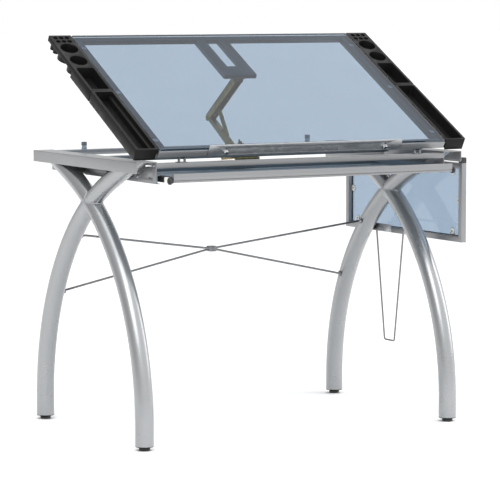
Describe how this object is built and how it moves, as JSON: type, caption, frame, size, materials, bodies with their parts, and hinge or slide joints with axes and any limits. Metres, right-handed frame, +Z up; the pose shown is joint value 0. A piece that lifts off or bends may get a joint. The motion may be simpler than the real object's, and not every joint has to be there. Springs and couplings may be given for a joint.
{
  "type": "drafting table",
  "caption": "Drafting table with a tilting glass top, lift-out side trays, shallow drawer, folding side shelf and levelling feet.",
  "frame": {"origin": "on the floor, under the middle of the table's bounds at rest (top raised, shelf hanging, drawer slightly open)", "axes": "+X to the user's right, towards the folding shelf; +Y away from the user, to the back; +Z up"},
  "size_m": [1.0672, 0.7192, 1.091],
  "materials": {
    "frame_paint": "satin silver-grey powder coat",
    "drawer_steel": "satin blue-grey powder coat",
    "bright_steel": "bright zinc plated",
    "screw_chrome": "polished",
    "zinc_yellow": "yellow passivated zinc",
    "black_plastic": "matte moulded",
    "tray_plastic": "fine-textured moulded",
    "peg_rubber": "matte",
    "clear_rubber": "soft translucent",
    "nylon": "off-white moulded nylon",
    "ledge_aluminium": "satin silver",
    "top_glass": "polished blue-tinted safety glass",
    "shelf_glass": "polished blue-tinted safety glass"
  },
  "bodies": {
    "frame": {"rail_left": "frame_paint", "rail_right": "frame_paint", "leg_left_through": "frame_paint", "leg_left_lower": "frame_paint", "leg_left_upper": "frame_paint", "leg_right_through": "frame_paint", "leg_right_lower": "frame_paint", "leg_right_upper": "frame_paint", "leg_caps": "black_plastic", "rail_front": "frame_paint", "rail_middle": "frame_paint", "rail_rear": "frame_paint", "frame_bolts": "bright_steel", "rest_pegs": "peg_rubber", "brace_rods": "bright_steel", "leg_bolts": "bright_steel", "drawer_tracks": "drawer_steel", "hinge_base": "bright_steel", "prop_base": "zinc_yellow", "shelf_hinges": "bright_steel", "bail_catch": "bright_steel"},
    "leveler_front_left": {"leveler_front_left": "black_plastic"},
    "leveler_front_right": {"leveler_front_right": "black_plastic"},
    "leveler_rear_left": {"leveler_rear_left": "black_plastic"},
    "leveler_rear_right": {"leveler_rear_right": "black_plastic"},
    "drawer": {"drawer_front": "frame_paint", "drawer_pan": "drawer_steel", "drawer_runners": "black_plastic", "drawer_stops": "nylon"},
    "wheels": {"drawer_wheels": "black_plastic"},
    "rollers": {"drawer_rollers": "nylon"},
    "top": {"top_tube_front": "frame_paint", "top_tube_rear": "frame_paint", "top_tube_left": "frame_paint", "top_tube_right": "frame_paint", "top_glass": "top_glass", "glass_pads": "clear_rubber", "lift_bracket": "frame_paint", "lift_clevis": "zinc_yellow", "prop_top_pin": "zinc_yellow", "hinge_top": "bright_steel", "ledge_screws": "screw_chrome", "tray_strips": "frame_paint"},
    "ledge": {"pencil_ledge": "ledge_aluminium"},
    "tray_rear_left": {"tray_rear_left": "tray_plastic", "tray_wells_left": "tray_plastic"},
    "tray_rear_right": {"tray_rear_right": "tray_plastic", "tray_wells_right": "tray_plastic"},
    "tray_front_left": {"tray_front_left": "tray_plastic"},
    "tray_front_right": {"tray_front_right": "tray_plastic"},
    "prop_upper": {"prop_upper_arm": "zinc_yellow"},
    "prop_lower": {"prop_lower_arm": "zinc_yellow", "prop_pins": "zinc_yellow"},
    "stay": {"prop_stay": "zinc_yellow"},
    "shelf": {"shelf_frame": "frame_paint", "shelf_glass": "shelf_glass", "shelf_clips": "bright_steel", "shelf_caps": "black_plastic", "bail_eyes": "bright_steel"},
    "bail": {"shelf_bail": "bright_steel"}
  },
  "joints": [
    {"name": "top_tilt", "type": "hinge", "parent": "frame", "child": "top", "pos_m": [-0.01385, -0.27994, 0.77686], "axis": [1, 0, 0], "range_deg": [-28.8, 0]},
    {"name": "prop_upper_turn", "type": "hinge", "parent": "top", "child": "prop_upper", "pos_m": [-0.02385, 0.05952, 0.96463], "axis": [1, 0, 0], "range_deg": [0, 36.5]},
    {"name": "prop_lower_turn", "type": "hinge", "parent": "prop_upper", "child": "prop_lower", "pos_m": [-0.02385, 0.21479, 0.85145], "axis": [1, 0, 0], "range_deg": [-58.4, 0]},
    {"name": "stay_turn", "type": "hinge", "parent": "prop_upper", "child": "stay", "pos_m": [-0.02385, 0.17178, 0.88775], "axis": [1, 0, 0], "range_deg": [-89.1, 0]},
    {"name": "ledge_height", "type": "slide", "parent": "top", "child": "ledge", "axis": [0, -0.4818, 0.8763], "range_m": [-0.01, 0.004]},
    {"name": "drawer_slide", "type": "slide", "parent": "frame", "child": "drawer", "axis": [0, -1, 0], "range_m": [-0.052, 0.29]},
    {"name": "wheel_roll", "type": "hinge", "parent": "drawer", "child": "wheels", "pos_m": [-0.01385, -0.35035, 0.719], "axis": [1, 0, 0], "continuous": true},
    {"name": "roller_roll", "type": "hinge", "parent": "drawer", "child": "rollers", "pos_m": [-0.01385, 0.02365, 0.719], "axis": [1, 0, 0], "continuous": true},
    {"name": "shelf_fold", "type": "hinge", "parent": "frame", "child": "shelf", "pos_m": [0.50815, 0.03865, 0.743], "axis": [0, -1, 0], "range_deg": [0, 90]},
    {"name": "bail_swing", "type": "hinge", "parent": "shelf", "child": "bail", "pos_m": [0.51265, 0.09365, 0.512], "axis": [0, -1, 0], "range_deg": [-136.6, 0]},
    {"name": "leveler_front_left_screw", "type": "slide", "parent": "frame", "child": "leveler_front_left", "axis": [0, 0, -1], "range_m": [0, 0.012]},
    {"name": "leveler_front_right_screw", "type": "slide", "parent": "frame", "child": "leveler_front_right", "axis": [0, 0, -1], "range_m": [0, 0.012]},
    {"name": "leveler_rear_left_screw", "type": "slide", "parent": "frame", "child": "leveler_rear_left", "axis": [0, 0, -1], "range_m": [0, 0.012]},
    {"name": "leveler_rear_right_screw", "type": "slide", "parent": "frame", "child": "leveler_rear_right", "axis": [0, 0, -1], "range_m": [0, 0.012]},
    {"name": "tray_rear_left_lift", "type": "slide", "parent": "top", "child": "tray_rear_left", "axis": [0, -0.4818, 0.8763], "range_m": [0, 0.06]},
    {"name": "tray_rear_right_lift", "type": "slide", "parent": "top", "child": "tray_rear_right", "axis": [0, -0.4818, 0.8763], "range_m": [0, 0.06]},
    {"name": "tray_front_left_lift", "type": "slide", "parent": "top", "child": "tray_front_left", "axis": [0, -0.4818, 0.8763], "range_m": [0, 0.06]},
    {"name": "tray_front_right_lift", "type": "slide", "parent": "top", "child": "tray_front_right", "axis": [0, -0.4818, 0.8763], "range_m": [0, 0.06]}
  ],
  "couplings": [
    {"joint": "prop_upper_turn", "follows": "top_tilt", "ratio": -1.2633},
    {"joint": "prop_lower_turn", "follows": "top_tilt", "ratio": 2.0233},
    {"joint": "stay_turn", "follows": "top_tilt", "ratio": 3.09},
    {"joint": "bail_swing", "follows": "shelf_fold", "ratio": -1.5168}
  ]
}
